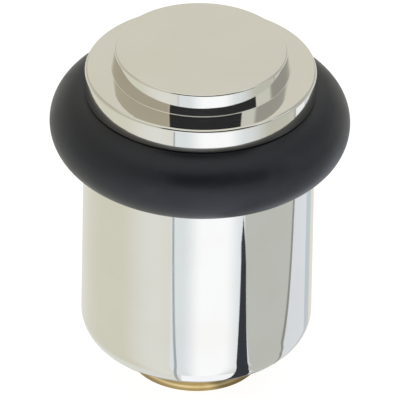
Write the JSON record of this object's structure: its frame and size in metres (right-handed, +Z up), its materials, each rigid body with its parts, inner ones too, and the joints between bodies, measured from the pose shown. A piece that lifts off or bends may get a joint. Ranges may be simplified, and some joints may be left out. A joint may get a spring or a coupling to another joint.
{
  "type": "floor door stop",
  "caption": "Floor-mounted pillar door stop: polished barrel and stepped head with a rubber buffer ring between them, screwed onto a brass floor boss.",
  "frame": {"origin": "centre of the brass foot's flat underside, on the floor", "axes": "+Z up along the turning axis of every piece; X and Y lie in the floor, and only the spanner slot and the washer's split single out a direction in it (both along X)"},
  "size_m": [0.0502, 0.0502, 0.0614],
  "materials": {
    "polished_nickel": "mirror polished nickel plate, slightly warm",
    "brass": "turned, unplated, lightly polished",
    "rubber": "smooth black with a soft sheen",
    "nylon": "natural nylon, matt",
    "stud_steel": "zinc plated",
    "spring_steel": "oiled spring steel"
  },
  "bodies": {
    "floor_boss": {"floor_boss": "brass"},
    "slip_washer": {"slip_washer": "nylon"},
    "barrel": {"barrel": "polished_nickel", "head_stud": "stud_steel"},
    "head_washer": {"head_washer": "spring_steel"},
    "head": {"head": "polished_nickel"},
    "buffer_ring": {"buffer_ring": "rubber"}
  },
  "joints": [
    {"name": "barrel_lift", "type": "slide", "parent": "floor_boss", "child": "slip_washer", "axis": [0, 0, 1], "range_m": [0, 0.012]},
    {"name": "barrel_turn", "type": "hinge", "parent": "slip_washer", "child": "barrel", "pos_m": [0, 0, 0.0142], "axis": [0, 0, 1], "range_deg": [0, 2880]},
    {"name": "head_lift", "type": "slide", "parent": "barrel", "child": "head_washer", "axis": [0, 0, 1], "range_m": [0, 0.00562]},
    {"name": "head_turn", "type": "hinge", "parent": "head_washer", "child": "head", "pos_m": [0, 0, 0.0552], "axis": [0, 0, 1], "range_deg": [0, 1620]},
    {"name": "ring_turn", "type": "hinge", "parent": "barrel", "child": "buffer_ring", "pos_m": [0, 0, 0.04718], "axis": [0, 0, 1], "continuous": true}
  ],
  "couplings": [
    {"joint": "barrel_turn", "follows": "barrel_lift", "rad_per_m": 4188.8},
    {"joint": "head_turn", "follows": "head_lift", "rad_per_m": 5026.5}
  ]
}
